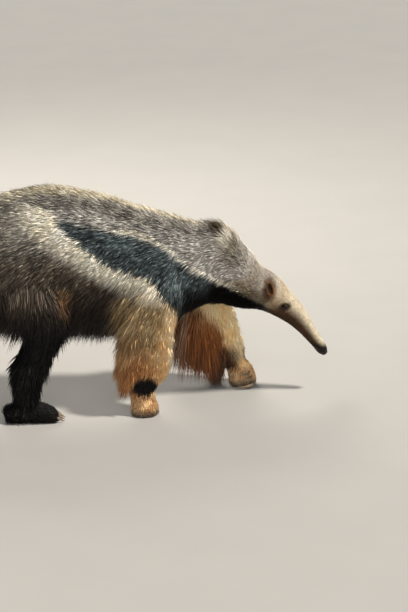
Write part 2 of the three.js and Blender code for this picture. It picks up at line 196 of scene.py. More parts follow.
parts = {
    "trunk": placed(trunkRows),
    "tail": placed(tailRows),
    "foreleg_right": placed(standingForeleg, stance["rightForefootX"], -1),
    "foreleg_left": placed(reachingForeleg, stance["leftForefootX"], 1),
    "hindleg_right": placed(forwardHindleg, stance["rightHindfootX"], -1),
    "hindleg_left": placed(trailingHindleg, stance["leftHindfootX"], 1),
    "hindfoot_right": placed(hindfootRows, stance["rightHindfootX"], -1),
    "hindfoot_left": placed(hindfootRows, stance["leftHindfootX"], 1),
}
partNames = list(parts)


def rowsAt(table, t):
    # Catmull-Rom through the rows of a table, t from 0 at its first row to 1 at its last
    at = np.clip(np.atleast_1d(t), 0, 1) * (len(table) - 1)
    i = np.minimum(at.astype(int), len(table) - 2)
    w = (at - i)[:, None]
    padded = np.vstack([2 * table[0] - table[1], table, 2 * table[-1] - table[-2]])
    a, b, c, d = (padded[i + k] for k in range(4))
    return 0.5 * (2 * b + (c - a) * w + (2 * a - 5 * b + 4 * c - d) * w**2 + (3 * b - 3 * c + d - a) * w**3)


def frameAt(table, t):
    # middle, directions along, sideways and upward, reaches and coat depth at each t
    rows = rowsAt(table, t)
    along = unit(rowsAt(table, t + 2e-3)[:, :3] - rowsAt(table, t - 2e-3)[:, :3])
    sideways = unit(np.array([0, 1.0, 0]) - along * along[:, 1:2])
    return rows[:, :3], along, sideways, np.cross(along, sideways), rows[:, 3:6], rows[:, 6:7]


def onPart(table, t, angle, scale=1.0, shift=0.0):
    # a flattened ring round the middle: half width aside, one reach above and another below
    middle, along, sideways, upward, reach, depth = frameAt(table, t)
    reach = (reach - depth) * np.reshape(scale, (-1, 1))
    c, s = np.cos(angle)[:, None], np.sin(angle)[:, None]
    rise = np.where(s > 0, reach[:, 1:2], reach[:, 2:3])
    return middle + along * np.reshape(shift, (-1, 1)) + sideways * c * reach[:, :1] + upward * s * rise


def makeMesh(name, points, faceSizes, corners, smoothed=True):
    # faces given as their sizes and one long list of corners
    mesh = bpy.data.meshes.new(name)
    mesh.vertices.add(len(points))
    mesh.vertices.foreach_set("co", np.asarray(points, np.float32).ravel())
    mesh.loops.add(len(corners))
    mesh.loops.foreach_set("vertex_index", np.asarray(corners, np.int32))
    mesh.polygons.add(len(faceSizes))
    starts = np.concatenate([[0], np.cumsum(faceSizes)[:-1]])
    mesh.polygons.foreach_set("loop_start", starts.astype(np.int32))
    mesh.polygons.foreach_set("use_smooth", np.full(len(faceSizes), smoothed))
    mesh.update(calc_edges=True)
    mesh.validate()
    piece = bpy.data.objects.new(name, mesh)
    bpy.context.scene.collection.objects.link(piece)
    return piece


def closedGrid(name, grid):
    # rings of points as quads, each end closed by a fan to its middle
    rings, sides = grid.shape[:2]
    points = np.vstack([grid.reshape(-1, 3), grid[0].mean(0), grid[-1].mean(0)])
    i, j = np.meshgrid(np.arange(rings - 1), np.arange(sides), indexing="ij")
    k = (j + 1) % sides
    quads = np.stack([i * sides + j, (i + 1) * sides + j, (i + 1) * sides + k, i * sides + k], -1).reshape(-1, 4)
    j = np.arange(sides)
    k = (j + 1) % sides
    first = np.stack([np.full(sides, len(points) - 2), j, k], -1)
    lastRow = (rings - 1) * sides
    last = np.stack([np.full(sides, len(points) - 1), lastRow + k, lastRow + j], -1)
    corners = np.concatenate([quads.ravel(), first.ravel(), last.ravel()])
    sizes = np.concatenate([np.full(len(quads), 4), np.full(2 * sides, 3)])
    piece = makeMesh(name, points, sizes, corners)
    if signedVolume(piece.data) < 0:
        piece.data.flip_normals()
    return piece


def signedVolume(mesh):
    # six times the sum of the tetrahedra from the origin to each triangle
    mesh.calc_loop_triangles()
    co = np.empty(len(mesh.vertices) * 3, np.float32)
    mesh.vertices.foreach_get("co", co)
    tri = np.empty(len(mesh.loop_triangles) * 3, np.int32)
    mesh.loop_triangles.foreach_get("vertices", tri)
    a, b, c = np.moveaxis(co.reshape(-1, 3)[tri.reshape(-1, 3)].astype(float), 1, 0)
    return np.einsum("ij,ij->i", a, np.cross(b, c)).sum()


def applied(piece, *modifiers):
    # adds modifiers given as (kind, settings), then keeps their result as the mesh
    for kind, settings in modifiers:
        modifier = piece.modifiers.new(kind.lower(), kind)
        for key, value in settings.items():
            setattr(modifier, key, value)
    result = bpy.data.meshes.new_from_object(piece.evaluated_get(bpy.context.evaluated_depsgraph_get()))
    piece.modifiers.clear()
    old, piece.data = piece.data, result
    bpy.data.meshes.remove(old)
    result.polygons.foreach_set("use_smooth", np.ones(len(result.polygons), bool))
    return piece


# the skin
skinValues = {
    "voxel": 0.0088,
    "trunkEnd": 10.7 / 18,  # where the trunk's form stops inside the head's
    "headStart": 9.5 / 18,
    "headRings": 250,
    "headSides": 204,
    "eyeRow": 13.02,  # where the head's rings stand closest, in rows of the trunk's table
    "roundNose": 5 * mm,
    "softAbove": 0.22,
    "softBehind": 0.72,
    "softSteps": 45,
}
eyeMiddles = {}
for side, word in ((-1, "right"), (1, "left")):
    low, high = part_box("eye_" + word)
    eyeMiddles[side] = np.array((low + high) / 2)
eyeRadius = (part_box("eye_right")[1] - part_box("eye_right")[0]).z / 2

faceValues = {
    "eyeOpening": (8.0 * mm, 4.8 * mm),  # half its length and height
    "lid": 1.7 * mm,
    "lidReach": 15 * mm,
    "socketDepth": 2.0 * mm,
    "brow": 3.0 * mm,
    "mouthLength": 42 * mm,
    "mouthAngle": radians(-36),
    "mouthDepth": 2.4 * mm,
    "lip": 1.1 * mm,
    "nostrilDepth": 3.2 * mm,
}


def headDetail(points, t, angle, outward, along, upward):
    # lids over each eyeball, a socket before and under it, a brow, the mouth line with its lips, nostrils
    v = faceValues
    moved = points.copy()
    for side, middle in eyeMiddles.items():
        away = points - middle
        a = dot(away, along)[:, 0]
        b = dot(away, upward)[:, 0]
        onSide = points[:, 1] * side > 0
        r = np.hypot(a, b)
        y = away[:, 1] * side
        lidRadius = eyeRadius + v["lid"]
        dome = np.sqrt(np.maximum(lidRadius**2 - (a / 1.25) ** 2 - b**2, 0))
        socket = v["socketDepth"] * np.exp(-(((a - 10 * mm) / (9 * mm)) ** 2 + ((b + 3 * mm) / (9 * mm)) ** 2))
        brow = v["brow"] * np.exp(-((a / (16 * mm)) ** 2 + ((b - 13 * mm) / (6 * mm)) ** 2))
        lid = np.maximum(dome, 0) * smooth(lidRadius * 1.25, lidRadius * 0.9, r)
        target = np.maximum(y - socket + brow * 0.6, lid)
        open1, open2 = v["eyeOpening"]
        inside = (np.abs(a + 0.5 * mm) / open1) ** 2 + (np.abs(b) / (open2 * (1 - 0.35 * np.clip(a / open1, -1, 1)))) ** 2
        ball = np.sqrt(np.maximum(eyeRadius**2 - a**2 - b**2, 0)) - 1.6 * mm
        target = np.where(inside < 1.25, target + (ball - target) * smooth(1.25, 0.85, inside), target)
        moved[:, 1] = np.where(onSide & (r < v["lidReach"] * 1.8), middle[1] + side * target, moved[:, 1])
    # mouth: distance back from the nose's end, and angle below the side on both flanks
    back = np.linalg.norm(points - points[np.argmax(t)], axis=1)
    fromSide = np.where(np.cos(angle) < 0, np.sign(np.sin(angle)) * pi - angle, angle)
    off = (fromSide - v["mouthAngle"]) * 18 * mm
    reachBack = smooth(v["mouthLength"], v["mouthLength"] * 0.8, back) * smooth(2 * mm, 6 * mm, back)
    groove = -v["mouthDepth"] * np.exp(-(off / (1.1 * mm)) ** 2)
    lips = v["lip"] * np.exp(-((np.abs(off) - 3 * mm) / (1.8 * mm)) ** 2)
    moved += outward * ((groove + lips) * reachBack)[:, None]
    return moved


def nostrils(points, t):
    # two slanting pits on the front corners of the nose
    tip, along, _, upward, _, _ = frameAt(parts["trunk"], np.array([17.45 / 18]))
    away = points - tip
    a, b, y = dot(away, along)[:, 0], dot(away, upward)[:, 0], away[:, 1]
    moved = points.copy()
    for side in (-1, 1):
        u = a - 4 * mm
        w = b - 6 * mm + 0.5 * u
        pit = np.exp(-((u / (4.2 * mm)) ** 2 + (w / (1.9 * mm)) ** 2)) * smooth(2 * mm, 6 * mm, y * side)
        moved[:, 1] -= side * faceValues["nostrilDepth"] * pit
        rim = np.exp(-((u / (6 * mm)) ** 2 + ((w - 3.4 * mm) / (1.8 * mm)) ** 2)) * smooth(2 * mm, 6 * mm, y * side)
        moved[:, 1] += side * 0.9 * mm * rim
    return moved


def lobe(name, table, rings, sides, start=0.0, end=1.0, scale=None):
    # one part of the body as a closed tube
    t = np.repeat(np.linspace(start, end, rings), sides)
    angle = np.tile(np.arange(sides) * 2 * pi / sides, rings)
    size = 1.0 if scale is None else scale(t)
    points = onPart(table, t, angle, size)
    points[:, 2] = np.maximum(points[:, 2], stance["sole"] * mm)
    return closedGrid(name, points.reshape(rings, sides, 3))


def makeHead():
    # rings stand closer by the eyes, and their points closer on the head's sides than above and below
    v = skinValues
    rings, sides, capRings = v["headRings"], v["headSides"], 7
    table = parts["trunk"]
    even = np.linspace(v["headStart"], 1, 2000)
    crowd = np.cumsum(1 + 4.5 * np.exp(-(((even * 18 - v["eyeRow"]) / 0.42) ** 2)))
    t = np.repeat(np.interp(np.linspace(crowd[0], crowd[-1], rings), crowd, even), sides)
    around = np.arange(sides) * 2 * pi / sides
    around = around - 0.3 * np.sin(2 * around)
    angle = np.tile(around, rings)
    swell = 0.72 + 0.28 * smooth(v["headStart"], v["headStart"] + 0.5 / 18, t)
    points = onPart(table, t, angle, swell)
    middle, along, _, upward, _, _ = frameAt(table, t)
    points = headDetail(points, t, angle, unit(points - middle), along, upward)
    # the nose's end is rounded by rings that shrink as a quarter circle
    turn = np.repeat(np.linspace(0, pi / 2, capRings + 2)[1:-1], sides)
    capAngle = np.tile(around, capRings)
    cap = onPart(table, np.ones(len(turn)), capAngle, np.cos(turn), np.sin(turn) * v["roundNose"])
    points = nostrils(np.vstack([points, cap]), t)
    return closedGrid("head_form", points.reshape(rings + capRings, sides, 3))


def narrowed(t):
    # the trunk's form shrinks where it ends inside the head's
    end = skinValues["trunkEnd"]
    return 1 - 0.45 * smooth(end - 0.6 / 18, end, t)


def makeSkin():
    v = skinValues
    forms = [lobe("trunk_form", parts["trunk"], 90, 72, 0, v["trunkEnd"], narrowed)]
    forms += [lobe(name + "_form", parts[name], 60, 40) for name in partNames[1:]]
    with bpy.context.temp_override(active_object=forms[0], selected_editable_objects=forms):
        bpy.ops.object.join()
    skin = applied(forms[0], ("REMESH", {"mode": "VOXEL", "voxel_size": v["voxel"]}),
                   ("SMOOTH", {"factor": 0.5, "iterations": 5}))
    skin.name = skin.data.name = "skin"
    # shoulders and hips run softly into the trunk
    x, _, z = meshArrays(skin.data)[0].T
    joined = np.flatnonzero((z > v["softAbove"]) & (x < v["softBehind"]))
    skin.vertex_groups.new(name="joints").add(joined.tolist(), 1.0, "REPLACE")
    applied(skin, ("SMOOTH", {"factor": 0.5, "iterations": v["softSteps"], "vertex_group": "joints"}))
    head = makeHead()
    applied(skin, ("BOOLEAN", {"object": head, "operation": "UNION", "solver": "MANIFOLD"}))
    bpy.data.objects.remove(head)
    skin.data.materials.clear()
    return skin


def meshArrays(mesh):
    # vertex places and normals, and triangles, as arrays
    co = np.empty(len(mesh.vertices) * 3, np.float32)
    mesh.vertices.foreach_get("co", co)
    normal = np.empty(len(mesh.vertices) * 3, np.float32)
    mesh.vertices.foreach_get("normal", normal)
    mesh.calc_loop_triangles()
    tri = np.empty(len(mesh.loop_triangles) * 3, np.int32)
    mesh.loop_triangles.foreach_get("vertices", tri)
    return co.reshape(-1, 3).astype(float), normal.reshape(-1, 3).astype(float), tri.reshape(-1, 3)


samples = 90
sampleT = np.linspace(0, 1, samples)
partFrames = {name: frameAt(table, sampleT) for name, table in parts.items()}


def placeOn(name, points):
    # each point's t and angle on one part, and how far out it lies in shares of the part's reach
    middle, along, sideways, upward, reach, depth = partFrames[name]
    t = np.empty(len(points))
    angle = np.empty(len(points))
    share = np.empty(len(points))
    for start in range(0, len(points), 20000):
        chunk = points[start:start + 20000]
        away = chunk[:, None] - middle[None]
        near = (away**2).sum(-1).argmin(1)
        ahead = (away[np.arange(len(chunk)), near] * along[near]).sum(-1)
        step = np.linalg.norm(middle[-1] - middle[0]) / samples
        at = np.clip(sampleT[near] + ahead / (step * samples) * 0.9, 0, 1)
        offset = away[np.arange(len(chunk)), near]
        aside = (offset * sideways[near]).sum(-1)
        rise = (offset * upward[near]).sum(-1)
        free = reach[near] - depth[near]
        up = np.where(rise > 0, free[:, 1], free[:, 2])
        t[start:start + 20000] = at
        angle[start:start + 20000] = np.arctan2(rise / up, aside / free[:, 0])
        beyond = np.abs(ahead) / 0.02 * ((near == 0) | (near == samples - 1))
        share[start:start + 20000] = np.hypot(rise / up, aside / free[:, 0]) + beyond
    return t, angle, share


def nearestParts(points):
    # the part whose surface each point lies on
    shares = np.stack([placeOn(name, points)[2] for name in partNames], -1)
    return np.abs(shares - 1).argmin(-1)


# markings: pairs of a dark and a light hair, chosen by place
palette = {
    "grizzled": ("#4a4743", "#ebe7df"),
    "rump": ("#35312d", "#b1a99b"),
    "darkStreakAndShade": ("#25221d", "#9a9284"),
    "neckGrey": ("#6a6661", "#ebe7e0"),
    "paintedBacklitRim": ("#8f8468", "#efe6d0"),
    "band": ("#07090b", "#79878a"),
    "cream": ("#f4e8cc", "#fffdf4"),
    "tan": ("#836339", "#f5dfb2"),
    "tanLow": ("#9c5f31", "#f8c080"),
    "rust": ("#5a290d", "#b46a30"),
    "sunlitGolden": ("#ffc67c", "#fff4d2"),
    "black": ("#020202", "#090706"),
    "brownBlack": ("#120e0b", "#463a31"),
    "flankAndNeckShade": ("#201b15", "#8d8171"),
    "knee": ("#6b4a2e", "#bd9467"),
    "snout": ("#70644f", "#d8cdb6"),
    "shadedSnoutUnder": ("#24160d", "#503a26"),
    "noseTip": ("#0a0705", "#1c1410"),
    "cheek": ("#5a4733", "#b5a284"),
    "earOrange": ("#2b1a0c", "#623c22"),
    "earRim": ("#4e321d", "#9c7046"),
    "foot": ("#a8713f", "#ffdfae"),
    "toes": ("#54402f", "#b49e81"),
    "eyePatch": ("#17110c", "#3f3124"),
    "crestDark": ("#14100c", "#5f533f"),
    "nape": ("#241b11", "#a38c64"),
    "tail": ("#16110d", "#7d705d"),
}
pairs = {name: np.stack([toLinear(h) for h in two]) for name, two in palette.items()}

# edges of the black band and of the cream band under it, on the flank: forward and up, in metres
bandTop = ((0.225, 0.652), (0.30, 0.632), (0.40, 0.604), (0.49, 0.580), (0.575, 0.538), (0.66, 0.462), (0.705, 0.438),
           (0.76, 0.404), (0.82, 0.370), (0.875, 0.336), (0.91, 0.306))
bandBottom = ((0.225, 0.648), (0.29, 0.586), (0.345, 0.538), (0.40, 0.498), (0.47, 0.472), (0.52, 0.450), (0.57, 0.388),
              (0.62, 0.325))
creamBottom = ((0.08, 0.632), (0.20, 0.570), (0.33, 0.472), (0.45, 0.412), (0.52, 0.385))
creamTop = ((0.08, 0.662), (0.16, 0.668), (0.225, 0.650))


def edge(line, x):
    return np.interp(x, *np.transpose(line))


def markings(part, t, angle, points, jitter):
    # the dark and the light hair of each place: a base coat, then overlays from back to front
    x, y, z = points.T
    dz = z + jitter * 0.010
    row = t * 18
    rise = np.sin(angle)
    trunk, tail = part == 0, part == 1
    fore, hind = (part == 2) | (part == 3), part >= 4
    body = trunk | fore | hind
    # on the left the leg reaches forward and its shoulder carries the markings along
    xs = x - 0.10 * (y > 0) * smooth(0.60, 0.36, z) * smooth(0.80, 0.64, x)
    colour = np.empty((len(points), 2, 3))
    colour[:] = pairs["grizzled"]

    def over(mask, name):
        share = np.clip(mask, 0, 1)[:, None, None]
        colour[:] = colour * (1 - share) + pairs[name] * share

    # back and neck: a darker streak along the top, and at the very ridge pale hair as a painted backlit rim
    over(smooth(0.26, 0.02, x), "rump")
    over(trunk * smooth(0.42, 0.60, x) * smooth(0.36, 0.44, z), "neckGrey")
    over(trunk * smooth(0.74, 0.88, rise) * smooth(0.02, 0.2, x) * smooth(0.76, 0.68, x) * 0.6, "darkStreakAndShade")
    # painted light: the pale rim that light from behind gives the ridge's hair
    over(trunk * smooth(0.93 + 0.05 * smooth(0.25, 0.5, x), 0.995, rise) * smooth(0.74, 0.66, x) * 0.85, "paintedBacklitRim")
    # flank, belly and hind legs darken towards the floor
    over(body * smooth(0.63, 0.50, dz) * smooth(0.58, 0.52, x), "flankAndNeckShade")
    over(body * smooth(0.49, 0.38, dz) * smooth(0.50, 0.42, xs), "brownBlack")
    over(trunk * smooth(0.37, 0.29, dz) * smooth(0.60, 0.50, x), "black")
    over(hind * smooth(0.42, 0.31, dz), "black")
    over(body * smooth(0.02, -0.16, x) * smooth(0.62, 0.50, dz) * 0.6, "brownBlack")
    # shoulder and foreleg: tan above, orange brown below, rust behind, golden in front, the fronts' bright golden
    # partly painted sunlight
    arm = np.where(fore, smooth(0.46, 0.40, dz), 0) + trunk * smooth(0.39, 0.44, xs) * smooth(0.43, 0.37, dz)
    arm = np.clip(arm, 0, 1) * smooth(0.02, 0.06, np.abs(y))
    over(arm, "tan")
    over(arm * smooth(0.30, 0.17, dz), "tanLow")
    over(fore * smooth(-0.1, -0.8, rise) * smooth(0.42, 0.30, z) * 0.2, "rust")
    # the forelegs' fronts: their own golden hair, brightened as painted sunlight
    over(fore * smooth(0.1, 0.8, rise) * smooth(0.42, 0.32, z) * 0.7, "sunlitGolden")
    over((part == 3) * smooth(0.15, -0.35, rise) * smooth(0.42, 0.20, z) * 0.85, "rust")
    over((part == 3) * smooth(-0.2, 0.3, rise) * smooth(0.46, 0.38, z), "sunlitGolden")
    # cream band under the black one
    creamLow = edge(creamBottom, xs)
    creamHigh = np.where(xs < 0.225, edge(creamTop, xs), edge(bandBottom, xs))
    middle = smooth(creamLow - 0.010, creamHigh - 0.014, dz) * smooth(creamHigh + 0.024, creamHigh + 0.010, dz)
    over((trunk | fore) * middle**0.55 * smooth(0.08, 0.20, x) * smooth(0.62, 0.50, xs), "cream")
    # black band with a pale line over it, and all of the chest and throat
    top = edge(bandTop, x)
    line = np.exp(-((dz - top - 0.006) / 0.006) ** 2) * smooth(0.34, 0.46, x) * smooth(0.88, 0.80, x)
    over(trunk * line * 0.9, "cream")
    low = np.where(xs > 0.61, np.where(trunk, -1.0, 0.34), edge(bandBottom, xs))
    bandMask = smooth(low - 0.006, low + 0.010, dz) * smooth(top + 0.004, top - 0.008, dz)
    bandMask = bandMask * smooth(0.215, 0.245, xs) * (trunk | fore)
    over(bandMask, "band")
    over(bandMask * smooth(0.54, 0.66, xs) * smooth(0.46, 0.36, z), "black")
    # the far foreleg's lower inner side: a brown black patch, partly its own dark hair and partly painted shade
    shade = np.hypot((x - 0.800) / 0.055, (dz - 0.095) / 0.065)
    over((part == 3) * smooth(1.1, 0.5, shade) * smooth(0.125, 0.105, y) * 0.75, "brownBlack")
    # a black patch on the outer side of the wrist, paler foot, greyer toes
    side = np.sign(y)
    footX = np.where(side < 0, stance["rightForefootX"], stance["leftForefootX"]) * mm
    patch = np.hypot((x - footX - 0.002) / 0.048, (dz - 0.106) / 0.040)
    over(fore * smooth(1.0, 0.72, patch) * smooth(0.085, 0.115, np.abs(y)), "black")
    over(fore * smooth(0.078, 0.060, dz), "foot")
    over(fore * smooth(0.030, 0.014, z), "toes")
    # an ochre spot on the knee
    for kneeX, kneeSide in ((0.245, -1), (-0.005, 1)):
        knee = np.hypot((x - kneeX) / 0.042, (dz - 0.410) / 0.050)
        over(body * smooth(1.0, 0.2, knee) * (side == kneeSide) * 0.8, "knee")
    # head: pale above and dark brown below, the snout's pale top partly painted light and its dark underside partly
    # painted shade, dark round the eye, orange by the ear
    snout = trunk * smooth(11.4, 12.6, row)
    # the snout's underside: dark brown, partly painted shade
    over(snout, "shadedSnoutUnder")
    over(snout * smooth(-0.35, 0.80, rise), "snout")
    over(trunk * smooth(16.0, 16.75, row + 0.45 * (0.3 - rise)), "noseTip")
    over(trunk * smooth(10.2, 11.2, row) * smooth(13.0, 12.0, row) * smooth(-0.70, -0.45, rise), "cheek")
    # painted shade: a dark patch on the neck's side above the band, behind the jaw
    over(trunk * smooth(top + 0.060, top + 0.010, dz) * smooth(0.74, 0.82, x) * smooth(0.93, 0.89, x) * 0.7, "flankAndNeckShade")
    over(trunk * smooth(top + 0.002, top - 0.010, dz) * smooth(0.70, 0.74, x) * smooth(0.925, 0.89, x), "black")
    over(trunk * smooth(10.4, 11.2, row) * smooth(12.6, 11.8, row) * smooth(-0.1, 0.25, rise) * 0.6, "neckGrey")
    for middle in eyeMiddles.values():
        far = np.linalg.norm((points - middle - (0.002, 0, 0)) / np.array([0.022, 0.022, 0.015]), axis=1)
        over(trunk * smooth(1.25, 0.65, far), "eyePatch")
    ears = np.hypot((x - 0.915) / 0.022, (z - 0.368) / 0.034)
    over(trunk * smooth(1.4, 0.8, ears) * 0.8, "earOrange")
    # nape crest: dark with a pale spot under it, and painted shade in the hollow below the spot
    nape = smooth(0.70, 0.76, x) * smooth(0.88, 0.80, x) * smooth(0.25, 0.75, rise)
    over(trunk * nape * (0.45 + 0.7 * jitter), "nape")
    crest = np.hypot((x - 0.752) / 0.036, (z - 0.585) / 0.036)
    over(trunk * smooth(1.2, 0.5, crest), "crestDark")
    spot = np.hypot((x - 0.768) / 0.026, (z - 0.538) / 0.022)
    over(trunk * smooth(1.2, 0.5, spot) * 0.5, "cream")
    # painted shade in the hollow on the neck's side
    patch = np.hypot((x - 0.785) / 0.065, (z - 0.480) / 0.036)
    over(trunk * smooth(1.2, 0.2, patch) * 0.65, "darkStreakAndShade")
    over(tail * 1.0, "tail")
    return colour


def onNose(points):
    # true on the bare leather at the snout's end, which reaches further back below than above
    t, angle, _ = placeOn("trunk", points)
    return (t * 18 + 0.45 * (0.3 - np.sin(angle)) > 16.75) & (points[:, 0] > 1.0)


def between(colour, pick):
    return colour[:, 0] + (colour[:, 1] - colour[:, 0]) * pick[:, None]


def setColours(mesh, rgb):
    layer = mesh.color_attributes.new("coatColour", "FLOAT_COLOR", "POINT")
    layer.data.foreach_set("color", np.hstack([rgb, np.ones((len(rgb), 1))]).astype(np.float32).ravel())


# the coat
rng = np.random.default_rng(19)

coatValues = {
    "trunkRow": (0, 1, 4, 7, 8.2, 9.5, 11, 12, 13, 15, 18),
    "trunkLength": (54, 52, 45, 42, 38, 31, 20, 12, 8, 5, 3),
    "trunkWidth": (3.6, 3.5, 3.3, 3.2, 3.0, 2.6, 2.1, 1.8, 1.5, 1.3, 1.1),
    "foreLength": (54, 54, 50, 46, 40, 32, 24, 21, 17, 12),
    "hindLength": (66, 74, 80, 78, 72, 60, 36),
    "footLength": (22, 26, 24, 16, 11, 8),
}
down = np.array([0, 0, -1.0])


def coatOf(part, t, angle, points):
    # length and width in mm, lift from the skin, droop towards the floor and lie of the hair at each root
    v = coatValues
    n = len(points)
    length, width = np.full(n, 50.0), np.full(n, 4.2)
    lift, droop = np.full(n, 0.26), np.full(n, 0.15)
    lie = np.zeros((n, 3))
    rise = np.sin(angle)
    for index, name in enumerate(partNames):
        here = part == index
        if not here.any():
            continue
        at = np.clip(t[here], 0, 1)
        along = frameAt(parts[name], at)[1]
        r = rise[here]
        if name == "trunk":
            row = at * 18
            low = smooth(-0.15, -0.8, r) * smooth(8.6, 7.4, row)
            crest = np.exp(-(((row - 9.25) / 0.55) ** 2)) * smooth(0.6, 0.95, r)
            length[here] = np.interp(row, v["trunkRow"], v["trunkLength"]) + 96 * low + 16 * crest
            width[here] = np.interp(row, v["trunkRow"], v["trunkWidth"]) + 1.2 * low
            lift[here] = 0.44 - 0.06 * smooth(8, 11, row) + 0.2 * crest - 0.24 * smooth(11.2, 13, row) - 0.14 * low + 0.08 * crest
            droop[here] = 0.10 + 0.75 * low
            drop = (0.12 + 0.85 * smooth(0.80, -0.4, r)) * smooth(11.5, 9.5, row)
            lie[here] = -along + drop[:, None] * down
        elif name == "tail":
            side = smooth(0.95, 0.35, r)
            length[here] = (150 + 130 * side) * np.interp(at, (0, 0.1, 0.85, 1), (0.7, 1, 1, 0.7))
            width[here] = 9.5
            lift[here] = 0.24 - 0.16 * side
            droop[here] = 0.20 + 0.78 * side
            lie[here] = -along + (1.2 * side)[:, None] * down
        elif name.startswith("foreleg"):
            left = name.endswith("left")
            fringe = smooth(-0.25, -0.8, r) * smooth(0.06, 0.18, at) * smooth(0.62, 0.50, at)
            longer = 122 + 58 * smooth(0.38, 0.18, at) if left else 62
            length[here] = np.interp(at * 9, range(10), v["foreLength"]) + longer * fringe
            width[here] = np.interp(at, (0, 0.6, 0.75, 1), (3.3, 3.1, 2.3, 2.0)) + 1.2 * fringe
            lift[here] = 0.28 + 0.15 * fringe
            droop[here] = 0.25 + 0.6 * fringe
            lower = smooth(0.05, 0.35, at)[:, None]
            lie[here] = (along + np.array([-0.35, 0, 0])) * lower + np.array([-0.8, 0, -0.9]) * (1 - lower)
        elif name.startswith("hindleg"):
            length[here] = np.interp(at * 6, range(7), v["hindLength"])
            width[here] = 5.0
            lift[here] = 0.24
            droop[here] = 0.6
            lie[here] = along * 0.6 + down + np.array([-0.25, 0, 0])
        else:
            length[here] = np.interp(at * 5, range(6), v["footLength"])
            width[here] = 2.6
            lift[here] = 0.2
            droop[here] = 0.1
            lie[here] = along
    return length * mm, width * mm, lift, droop, lie


def tufts(name, roots, normal, coat, colour, picks, uv, rings):
    # each tuft is a three-sided spike along a curve: it leaves the root along the lie, raised by
    # lift, then bends towards the floor by droop, but never into the body; long hair strays less from
    # its lie than short hair; rings are shares of the way with their sizes and tints
    length, width, lift, droop, lie = coat
    n = len(roots)
    lie = unit(lie - dot(lie, normal) * normal)
    calm = np.minimum(1, 90 * mm / length)[:, None]
    wander = (drift(roots, 0.05, 11) * 0.30 + drift(roots, 0.016, 31) * 0.26) * calm
    wander -= dot(wander, normal) * normal * 0.7
    stray = rng.normal(0, 0.10, (2, n, 3)).clip(-0.2, 0.2) * calm**0.5
    free = down - np.minimum(dot(down[None], normal), 0) * normal
    start = unit(lie + lift[:, None] * normal + 0.5 * wander + stray[0])
    end = lie * (1 - droop[:, None]) + free * droop[:, None] + (0.30 * lift)[:, None] * normal
    end = unit(end + wander + 1.2 * stray[1])
    p0 = roots - normal * 3 * mm
    p1 = roots + start * (0.45 * length)[:, None]
    p2 = p1 + end * (0.60 * length)[:, None]
    points, tints, flat = [], [], []
    spread = rng.uniform(0, 2 * pi, n)
    for share, size, tint in rings:
        at = (1 - share) ** 2 * p0 + 2 * share * (1 - share) * p1 + share**2 * p2
        tangent = unit((1 - share) * (p1 - p0) + share * (p2 - p1))
        across = unit(np.cross(tangent, normal))
        over = np.cross(across, tangent)
        own = between(colour, picks[0]) * tint
        for corner in range(3):
            turn = 2 * pi * corner / 3 + pi / 2
            offset = across * np.cos(turn) * 0.5 + over * np.sin(turn) * 0.3
            points.append(at + offset * (size * width)[:, None])
            tints.append(own)
            patch = 0.0014 * (1.1 - share)
            flat.append(uv + patch * np.stack([np.cos(turn + spread), np.sin(turn + spread)], -1))
    points.append(p2)
    tints.append(between(colour, picks[1]) * 1.2)
    flat.append(uv)
    points = np.stack(points, 1)
    points[..., 2] = np.maximum(points[..., 2], 3 * mm)
    count = points.shape[1]
    faces = [(0, 2, 1)]
    for ring in range(len(rings) - 1):
        for c in range(3):
            a, b = ring * 3 + c, ring * 3 + (c + 1) % 3
            faces += [(a, b, b + 3), (a, b + 3, a + 3)]
    base = (len(rings) - 1) * 3
    faces += [(base + c, base + (c + 1) % 3, count - 1) for c in range(3)]
    corners = (np.array(faces)[None] + (np.arange(n) * count)[:, None, None]).reshape(-1)
    piece = makeMesh(name, points.reshape(-1, 3), np.full(len(corners) // 3, 3), corners)
    setColours(piece.data, np.clip(np.stack(tints, 1).reshape(-1, 3), 0, 1))
    layer = piece.data.uv_layers.new(name="OFBake")
    layer.data.foreach_set("uv", np.stack(flat, 1).reshape(-1, 2)[corners].astype(np.float32).ravel())
    return piece


# shares of a tuft's way with its size and tint there: straight spikes, bent tufts, long hanging locks
spikeRings = ((0.0, 0.9, 0.50),)
bentRings = ((0.0, 0.8, 0.34), (0.5, 1.0, 0.92))
lockRings = ((0.0, 0.7, 0.40), (0.35, 1.0, 0.80), (0.72, 0.7, 1.05))

coatPieces = [
    # name, parts, tufts, rings, slot, rows of the trunk's table that it covers, and its size beside the rest
    ("coat_trunk_1", ("trunk",), 19500, bentRings, "coat_grizzled", (0, 11.2), 1.0),
    ("coat_trunk_2", ("trunk",), 19500, bentRings, "coat_grizzled", (0, 11.2), 1.0),
    ("coat_trunk_fine", ("trunk",), 46000, spikeRings, "coat_grizzled", (0, 11.6), 0.72),
    ("coat_head", ("trunk",), 38000, spikeRings, "coat_face", (10.8, 17), 1.0),
    ("coat_foreleg_right", ("foreleg_right",), 12500, bentRings, "coat_tan", None, 1.0),
    ("coat_foreleg_left", ("foreleg_left",), 11500, bentRings, "coat_tan", None, 1.0),
    ("coat_foreleg_right_fine", ("foreleg_right",), 14000, spikeRings, "coat_tan", None, 0.7),
    ("coat_foreleg_left_fine", ("foreleg_left",), 12000, spikeRings, "coat_tan", None, 0.7),
    ("coat_hindleg_right", ("hindleg_right", "hindfoot_right"), 8000, lockRings, "coat_black", None, 1.0),
    ("coat_hindleg_left", ("hindleg_left", "hindfoot_left"), 8000, lockRings, "coat_black", None, 1.0),
    ("coat_tail", ("tail",), 10000, lockRings, "coat_grizzled", None, 1.0),
]


